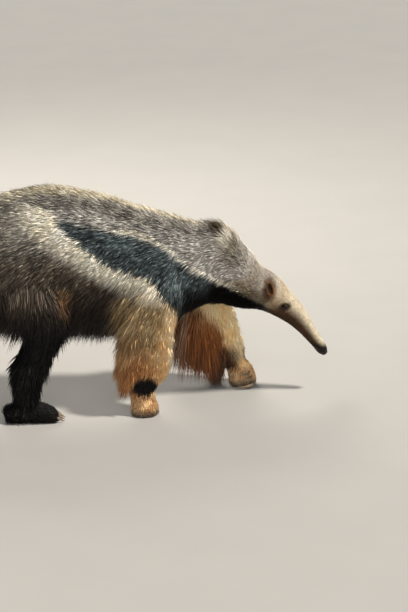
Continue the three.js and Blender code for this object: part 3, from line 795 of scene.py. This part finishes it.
def scattered(count, weight, co, normal, tri):
    # roots spread over the triangles by weight, each with its triangle and smooth normal
    chosen = rng.choice(len(tri), count, p=weight / weight.sum())
    r1, r2 = np.sqrt(rng.random(count)), rng.random(count)
    share = np.stack([1 - r1, r1 * (1 - r2), r1 * r2], -1)[..., None]
    return chosen, (co[tri[chosen]] * share).sum(1), unit((normal[tri[chosen]] * share).sum(1))


def placeOnOwn(part, points):
    # t and angle of each point on the part that it belongs to
    t, angle = np.zeros(len(points)), np.zeros(len(points))
    for index in np.unique(part):
        here = part == index
        t[here], angle[here], _ = placeOn(partNames[index], points[here])
    return t, angle


def growCoat(skin):
    co, normal, tri = meshArrays(skin.data)
    area = np.linalg.norm(np.cross(co[tri[:, 1]] - co[tri[:, 0]], co[tri[:, 2]] - co[tri[:, 0]]), axis=1)
    part = nearestParts(co)
    t, angle = placeOnOwn(part, co)
    under = markings(part, t, angle, co, drift(co, 0.02, 5)[:, 0])
    shade = np.where(t * 18 > 12, 0.95, 0.62)[:, None]
    setColours(skin.data, between(under, 0.25 + 0.45 * cloud(co, 0.004, 3)) * shade)
    triPart, row = part[tri[:, 0]], t[tri[:, 0]] * 18
    made = []
    for name, names, count, rings, slot, span, size in coatPieces:
        indices = [partNames.index(p) for p in names]
        weight = area * np.isin(triPart, indices) * (co[tri[:, 0], 2] > 6 * mm)
        if span:
            weight = weight * ((row > span[0]) & (row < span[1]))
        if name == "coat_head":
            weight = weight * (1 + 3 * smooth(12, 16, row)) * ~onNose(co[tri[:, 0]])
            weight = weight * (underEars(co[tri[:, 0]]) > 0.8)
        chosen, roots, out = scattered(count, weight, co, normal, tri)
        rootPart = triPart[chosen]
        rootT, rootAngle = placeOnOwn(rootPart, roots)
        length, width, lift, droop, lie = coatOf(rootPart, rootT, rootAngle, roots)
        for middle in eyeMiddles.values():
            near = np.linalg.norm(roots - middle, axis=1)
            length = length * (0.12 + 0.88 * smooth(10 * mm, 20 * mm, near))
        length = length * rng.uniform(0.75, 1.15, count) * (0.5 + 0.5 * size)
        width = width * rng.uniform(0.7, 1.25, count) * size
        patchy = 0.6 * (cloud(roots, 0.03, 7) - 0.5)
        picks = [np.clip(rng.beta(0.55, 0.8, count) + patchy, 0, 1) for _ in range(2)]
        flow = unit(lie - dot(lie, out) * out)
        colour = markings(rootPart, rootT, rootAngle, roots + flow * (0.4 * length)[:, None], rng.normal(0, 0.35, count))
        first, last = (span[0] / 18, span[1] / 18) if span else (0, 1)
        u = np.clip((rootT - first) / (last - first), 0, 1)
        if len(names) > 1:
            u = np.where(rootPart == indices[0], u * 0.7, 0.74 + u * 0.26)
        uv = 0.01 + 0.98 * np.stack([u, (rootAngle / (2 * pi)) % 1], -1)
        coat = (length, width, lift, droop, lie)
        made.append((tufts(name, roots, out, coat, colour, picks, uv, rings), slot))
        print("coat:", name, count, "tufts")
    return made


# ears
earValues = {
    "halfHeight": 25 * mm,
    "halfWidth": 12.5 * mm,
    "cup": 8 * mm,
    "wall": 2.4 * mm,
    "shift": (-2 * mm, 4 * mm, 8 * mm),  # from the middle of the solid's ear: forward, outward, up
    "tufts": 1500,
}


def earFrame(side):
    # middle of the ear, the way it opens, the way it stands and the way across
    low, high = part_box("ear_right" if side < 0 else "ear_left")
    forward, outward, up = earValues["shift"]
    middle = np.array((low + high) / 2) + (forward, side * outward, up)
    opens = unit(np.array([0.50, side * 1.0, 0.05]))
    stands = np.array([-0.28, side * 0.25, 0.9])
    stands = unit(stands - opens * (stands @ opens))
    return middle, opens, stands, np.cross(opens, stands)


def underEars(points):
    # how far each point lies from the nearer ear's middle, 1 at the rim
    far = []
    for side in (-1, 1):
        middle, _, stands, across = earFrame(side)
        away = points - middle
        flat = np.hypot(away @ stands / earValues["halfHeight"], away @ across / earValues["halfWidth"])
        far.append(np.where(points[:, 1] * side > 0, flat, 9))
    return np.minimum(*far)


def makeEar(side):
    # a cup by radius r and angle: its outer side from the middle to the rim, then its inner side back
    v = earValues
    middle, opens, stands, across = earFrame(side)
    r = np.concatenate([np.linspace(0.04, 1, 18), np.linspace(0.985, 0.04, 18)])
    outer = np.arange(36) < 18
    turn = np.arange(44) * 2 * pi / 44
    rr, aa = np.meshgrid(r, turn, indexing="ij")
    depth = -v["cup"] * (1 - rr**2) - np.where(outer, v["wall"], 0)[:, None] * (1 - rr**6)
    wave = 0.9 * mm * np.sin(3 * aa) * rr**2
    taper = 1 - 0.18 * np.sin(aa)
    grid = (middle + across * (np.cos(aa) * rr * v["halfWidth"] * taper)[..., None]
            + stands * (np.sin(aa) * rr * v["halfHeight"])[..., None] + opens * (depth + wave)[..., None])
    ear = closedGrid("ear_skin_" + ("right" if side < 0 else "left"), grid)
    # painted shade: the cup's inner side darkens towards its middle
    inner = np.concatenate([np.repeat(~outer, 44) * (1 - rr.ravel() ** 3), [0, 1]])
    rim, hollowShade = pairs["earOrange"].mean(0), toLinear("#150c06")
    setColours(ear.data, rim + (hollowShade - rim) * np.clip(inner * 1.4, 0, 1)[:, None])
    return ear


def growEarFur(ears):
    # short hair on the back of each ear and a pale fringe along its rim, all towards the ear's top
    v = earValues
    found = []
    for side, ear in zip((-1, 1), ears):
        middle, opens, stands, across = earFrame(side)
        co, normal, tri = meshArrays(ear.data)
        away = co[tri].mean(1) - middle
        flat = np.hypot(away @ stands / v["halfHeight"], away @ across / v["halfWidth"])
        facing = normal[tri[:, 0]] @ opens
        weight = np.where(flat > 0.86, 3.0, np.where(facing < 0, 1.0, 0.06))
        chosen, roots, out = scattered(v["tufts"], weight, co, normal, tri)
        rim = smooth(0.8, 0.98, flat[chosen])
        away = roots - middle
        aside = (away @ across / v["halfWidth"])[:, None] * across
        lie = stands + aside * 0.5 + opens * rim[:, None] * 0.3
        angle = np.arctan2(away @ stands, away @ across) / (2 * pi) % 1
        uv = np.stack([0.01 + 0.98 * angle, 0.25 + side * 0.24 * flat[chosen].clip(0, 1) + (side > 0) * 0.5], -1)
        colour = pairs["earOrange"] + (pairs["earRim"] - pairs["earOrange"]) * rim[:, None, None]
        found.append((roots, out, lie, colour, uv.clip(0.01, 0.99), rim))
    roots, out, lie, colour, uv, rim = (np.concatenate(each) for each in zip(*found))
    n = len(roots)
    coat = ((4 + 2.5 * rim) * mm * rng.uniform(0.7, 1.3, n), np.full(n, 1.3 * mm), np.full(n, 0.35), np.full(n, 0.05), lie)
    picks = [rng.beta(1, 1, n) for _ in range(2)]
    return tufts("coat_ears", roots, out, coat, colour, picks, uv, spikeRings)


# materials
def addNode(tree, kind, links=None, inputs=None, **settings):
    # one node with its settings, fixed inputs and links from other nodes' sockets
    made = tree.nodes.new(kind)
    for key, value in settings.items():
        setattr(made, key, value)
    for key, value in (inputs or {}).items():
        made.inputs[key].default_value = value
    for key, socket in (links or {}).items():
        tree.links.new(socket, made.inputs[key])
    return made


def newMaterial(name):
    material = bpy.data.materials.new(name)
    material.use_nodes = True
    tree = material.node_tree
    tree.nodes.clear()
    shader = addNode(tree, "ShaderNodeBsdfPrincipled")
    addNode(tree, "ShaderNodeOutputMaterial", {"Surface": shader.outputs[0]})
    return material, tree, shader


def rampOf(tree, source, low, high, fromValue=0.0, toValue=1.0):
    # a straight rise from one value to another
    return addNode(tree, "ShaderNodeMapRange", {"Value": source},
                   {"From Min": fromValue, "From Max": toValue, "To Min": low, "To Max": high})


def hairMaterial(name, roughness, sheen):
    # keratin hair: a waxy cuticle that scatters light along its edge; the colour is the tuft's own,
    # with a faint mottle at the width of a few hairs (1.5 mm)
    material, tree, shader = newMaterial(name)
    own = addNode(tree, "ShaderNodeAttribute", attribute_name="coatColour")
    place = addNode(tree, "ShaderNodeTexCoord")
    mottle = addNode(tree, "ShaderNodeTexNoise", {"Vector": place.outputs["Object"]}, {"Scale": 650.0, "Detail": 2.0})
    shade = rampOf(tree, mottle.outputs["Fac"], 0.72, 1.28, 0.3, 0.7)
    mixed = addNode(tree, "ShaderNodeMix", data_type="RGBA", blend_type="MULTIPLY", inputs={"Factor": 1.0})
    tree.links.new(own.outputs["Color"], mixed.inputs[6])
    tree.links.new(shade.outputs[0], mixed.inputs[7])
    tree.links.new(mixed.outputs[2], shader.inputs["Base Color"])
    shader.inputs["Roughness"].default_value = roughness
    shader.inputs["IOR"].default_value = 1.55
    shader.inputs["Specular IOR Level"].default_value = 0.12
    shader.inputs["Sheen Weight"].default_value = sheen
    shader.inputs["Sheen Roughness"].default_value = 0.4
    return material


def skinMaterial():
    # hide under short hair: dull, with fine hair relief (1.2 mm) as bump
    material, tree, shader = newMaterial("short haired hide")
    own = addNode(tree, "ShaderNodeAttribute", attribute_name="coatColour")
    place = addNode(tree, "ShaderNodeTexCoord")
    hairs = addNode(tree, "ShaderNodeTexNoise", {"Vector": place.outputs["Object"]}, {"Scale": 820.0, "Detail": 3.0})
    shade = rampOf(tree, hairs.outputs["Fac"], 0.6, 1.35, 0.3, 0.7)
    mixed = addNode(tree, "ShaderNodeMix", data_type="RGBA", blend_type="MULTIPLY", inputs={"Factor": 1.0})
    tree.links.new(own.outputs["Color"], mixed.inputs[6])
    tree.links.new(shade.outputs[0], mixed.inputs[7])
    tree.links.new(mixed.outputs[2], shader.inputs["Base Color"])
    bump = addNode(tree, "ShaderNodeBump", {"Height": hairs.outputs["Fac"]}, {"Strength": 0.5, "Distance": 0.0012})
    tree.links.new(bump.outputs[0], shader.inputs["Normal"])
    shader.inputs["Roughness"].default_value = 0.75
    shader.inputs["Specular IOR Level"].default_value = 0.15
    return material


def noseMaterial():
    # bare wet nose leather: near black, pebbled at about 1 mm, glossy
    material, tree, shader = newMaterial("wet nose leather")
    place = addNode(tree, "ShaderNodeTexCoord")
    pebble = addNode(tree, "ShaderNodeTexVoronoi", {"Vector": place.outputs["Object"]}, {"Scale": 900.0})
    tone = addNode(tree, "ShaderNodeMix", {"Factor": pebble.outputs["Distance"]}, data_type="RGBA")
    tone.inputs[6].default_value = (*toLinear("#060504"), 1)
    tone.inputs[7].default_value = (*toLinear("#16110f"), 1)
    tree.links.new(tone.outputs[2], shader.inputs["Base Color"])
    bump = addNode(tree, "ShaderNodeBump", {"Height": pebble.outputs["Distance"]}, {"Strength": 0.4, "Distance": 0.0006})
    tree.links.new(bump.outputs[0], shader.inputs["Normal"])
    shader.inputs["Roughness"].default_value = 0.3
    shader.inputs["Specular IOR Level"].default_value = 0.2
    return material


def eyeMaterial():
    # moist eyeball: dark brown iris without white showing, wet enough for one small highlight
    material, tree, shader = newMaterial("moist eyeball")
    place = addNode(tree, "ShaderNodeTexCoord")
    fibres = addNode(tree, "ShaderNodeTexNoise", {"Vector": place.outputs["Object"]}, {"Scale": 700.0, "Detail": 4.0})
    tone = addNode(tree, "ShaderNodeMix", {"Factor": fibres.outputs["Fac"]}, data_type="RGBA")
    tone.inputs[6].default_value = (*toLinear("#0a0705"), 1)
    tone.inputs[7].default_value = (*toLinear("#1c0f08"), 1)
    tree.links.new(tone.outputs[2], shader.inputs["Base Color"])
    shader.inputs["Roughness"].default_value = 0.07
    shader.inputs["Specular IOR Level"].default_value = 0.22
    return material


def hornMaterial():
    # claw horn: dark brown keratin, streaked along its length, polished by walking
    material, tree, shader = newMaterial("claw horn")
    place = addNode(tree, "ShaderNodeTexCoord")
    streaks = addNode(tree, "ShaderNodeTexNoise", {"Vector": place.outputs["Object"]}, {"Scale": 320.0, "Detail": 5.0})
    tone = addNode(tree, "ShaderNodeMix", {"Factor": streaks.outputs["Fac"]}, data_type="RGBA")
    tone.inputs[6].default_value = (*toLinear("#2a2019"), 1)
    tone.inputs[7].default_value = (*toLinear("#8a7660"), 1)
    tree.links.new(tone.outputs[2], shader.inputs["Base Color"])
    bump = addNode(tree, "ShaderNodeBump", {"Height": streaks.outputs["Fac"]}, {"Strength": 0.3, "Distance": 0.0005})
    tree.links.new(bump.outputs[0], shader.inputs["Normal"])
    shader.inputs["Roughness"].default_value = 0.38
    return material


def floorMaterial():
    # matt painted board, pale and even
    material, tree, shader = newMaterial("matt pale board")
    place = addNode(tree, "ShaderNodeTexCoord")
    grain = addNode(tree, "ShaderNodeTexNoise", {"Vector": place.outputs["Object"]}, {"Scale": 4.0, "Detail": 3.0})
    tone = addNode(tree, "ShaderNodeMix", {"Factor": grain.outputs["Fac"]}, data_type="RGBA")
    tone.inputs[6].default_value = (*toLinear("#8c8c8b"), 1)
    tone.inputs[7].default_value = (*toLinear("#929190"), 1)
    tree.links.new(tone.outputs[2], shader.inputs["Base Color"])
    shader.inputs["Roughness"].default_value = 0.9
    return material


# eyes, ears, claws
def makeEyes():
    # a sphere by longitude and latitude in each eye's place
    made = []
    for side, middle in eyeMiddles.items():
        lat = np.linspace(-pi / 2, pi / 2, 26)[1:-1]
        lon = np.arange(40) * 2 * pi / 40
        a, b = np.meshgrid(lat, lon, indexing="ij")
        grid = middle + eyeRadius * np.stack([np.cos(a) * np.cos(b), np.sin(a), np.cos(a) * np.sin(b)], -1)
        made.append(closedGrid("eyeball_" + ("right" if side < 0 else "left"), grid))
    return made


clawValues = {"foreLength": 62, "hindLength": 36, "foreThick": 9, "hindThick": 5.5}


def horn(name, start, bend, tip, thick):
    # a curved cone along a bent line, deeper than wide, ending in a point
    t = np.linspace(0, 0.985, 22)
    start, bend, tip = (np.array(p, float) * mm for p in (start, bend, tip))
    middle = ((1 - t) ** 2)[:, None] * start + (2 * t * (1 - t))[:, None] * bend + (t**2)[:, None] * tip
    tangent = unit((1 - t)[:, None] * (bend - start) + t[:, None] * (tip - bend))
    side = unit(np.cross(tangent, [0, 0, 1.0]))
    top = np.cross(side, tangent)
    radius = thick * mm * (1 - 0.93 * t**1.6)
    turn = np.arange(16) * 2 * pi / 16
    grid = (middle[:, None] + side[:, None] * (0.7 * radius[:, None] * np.cos(turn))[..., None]
            + top[:, None] * (radius[:, None] * np.sin(turn))[..., None])
    grid[..., 2] = np.maximum(grid[..., 2], stance["sole"] * mm)
    return closedGrid(name, grid)


def makeClaws():
    # three folded claws on each forefoot and five short ones on each hind foot
    v = clawValues
    made = []
    for word, side in (("right", -1), ("left", 1)):
        footX = stance[word + "ForefootX"]
        for n, size in enumerate((1, 0.85, 0.6)):
            long = size * v["foreLength"]
            start = np.array([footX + 38 - 6 * n, side * (stance["halfWidth"] - 30), 12 + 19 * n])
            bend = start + [0, -side * long / 1.6, 0]
            tip = start + [-long, -side * long / 2.3, -3]
            name = f"foreclaw_{word}_{n + 1}"
            made.append((horn(name + "_horn", start, bend, tip, v["foreThick"] * size), name))
        footX = stance[word + "HindfootX"]
        for n in range(-2, 3):
            start = np.array([footX + 76 - 4 * abs(n), side * stance["halfWidth"] + n * 17, 14])
            bend = start + [0.55 * v["hindLength"], 0, 7]
            tip = start + [v["hindLength"], 0, -10]
            name = f"hindclaw_{word}_{n + 3}"
            made.append((horn(name + "_horn", start, bend, tip, v["hindThick"]), name))
    return made


# camera, light, floor
viewValues = {
    "azimuth": radians(-10),
    "elevation": radians(18),
    "distance": 8.0,
    "target": (0.713, 0, 0.311),
    "lens": 148.2,
}


def makeCamera():
    v = viewValues
    a, e = v["azimuth"], v["elevation"]
    back = Vector((np.sin(a) * np.cos(e), -np.cos(a) * np.cos(e), np.sin(e)))
    right = Vector((np.cos(a), np.sin(a), 0))
    camera = bpy.data.objects.new("camera", bpy.data.cameras.new("camera"))
    camera.data.lens = v["lens"]
    camera.data.sensor_width = 36
    turn = Matrix((right, back.cross(right), back)).transposed()
    camera.matrix_world = Matrix.Translation(Vector(v["target"]) + back * v["distance"]) @ turn.to_4x4()
    bpy.context.scene.collection.objects.link(camera)
    bpy.context.scene.camera = camera


lightValues = {
    "sun": ((0.60, -0.32, 1.0), radians(7), 5.6, "#fff6e8"),
    "soft": ((0.10, -1.0, 0.55), radians(50), 1.9, "#fbf8f4"),
    "world": ("#e6ebf3", 0.24),
    "rim": ((0.2, 2.6, 2.6), 1.6, 110, "#fff6e6"),
}


def aimed(name, kind, place):
    # a lamp that looks at the middle of the animal
    lamp = bpy.data.lights.new(name, kind)
    light = bpy.data.objects.new(name, lamp)
    light.location = place
    light.rotation_euler = (Vector((0.4, 0, 0.35)) - Vector(place)).to_track_quat("-Z", "Y").to_euler()
    light.visible_glossy = name != "soft"  # its wide disc would show in the eyes
    bpy.context.scene.collection.objects.link(light)
    return lamp


def makeLights():
    for name in ("sun", "soft"):
        way, spread, strength, colour = lightValues[name]
        sun = aimed(name, "SUN", Vector(way) * 4)
        sun.energy, sun.angle, sun.color = strength, spread, toLinear(colour)
    place, size, power, colour = lightValues["rim"]
    lamp = aimed("rim", "AREA", place)
    lamp.energy, lamp.size, lamp.color = power, size, toLinear(colour)
    world = bpy.data.worlds.new("studio")
    world.use_nodes = True
    colour, strength = lightValues["world"]
    world.node_tree.nodes["Background"].inputs[0].default_value = (*toLinear(colour), 1)
    world.node_tree.nodes["Background"].inputs[1].default_value = strength
    bpy.context.scene.world = world


def makeFloor():
    mesh = bpy.data.meshes.new("floor")
    mesh.from_pydata([(-30, -30, 0), (30, -30, 0), (30, 30, 0), (-30, 30, 0)], [], [(0, 1, 2, 3)])
    floor = bpy.data.objects.new("floor", mesh)
    bpy.context.scene.collection.objects.link(floor)
    floor.data.materials.append(floorMaterial())


# put together
makeCamera()
makeLights()
makeFloor()
print("stage: camera, lights and floor")

skin = makeSkin()
print("skin:", len(skin.data.polygons), "faces")
coat = growCoat(skin)
skin.data.materials.append(skinMaterial())
skin.data.materials.append(noseMaterial())
faceMiddles = np.empty(len(skin.data.polygons) * 3, np.float32)
skin.data.polygons.foreach_get("center", faceMiddles)
leather = onNose(faceMiddles.reshape(-1, 3).astype(float))
skin.data.polygons.foreach_set("material_index", leather.astype(np.int32))
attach(skin, "root")
flesh = ["torso", "neck", "head", "nose", "tail_base", "tail_middle", "tail_tip"]
flesh += [f"{limb}_{word}" for limb in ("foreleg", "forefoot", "hindleg", "hindfoot") for word in ("right", "left")]
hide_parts(*flesh)

hair = hairMaterial("guard hair", 0.5, 0.03)
for piece, slot in coat:
    piece.data.materials.append(hair)
    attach(piece, "root")

eyeSurface = eyeMaterial()
for eye in makeEyes():
    eye.data.materials.append(eyeSurface)
    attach(eye, "root")
    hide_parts(eye.name.replace("eyeball", "eye"))

earSurface = skinMaterial()
ears = [makeEar(side) for side in (-1, 1)]
earFur = growEarFur(ears)
earFur.data.materials.append(hair)
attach(earFur, "root")
for ear, word in zip(ears, ("right", "left")):
    ear.data.materials.append(earSurface)
    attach(ear, "root")
    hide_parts("ear_" + word)

hornSurface = hornMaterial()
for claw, node in makeClaws():
    claw.data.materials.append(hornSurface)
    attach(claw, "root")
    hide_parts(node)
print("eyes, ears and claws")

bpy.context.scene.view_settings.view_transform = "Standard"
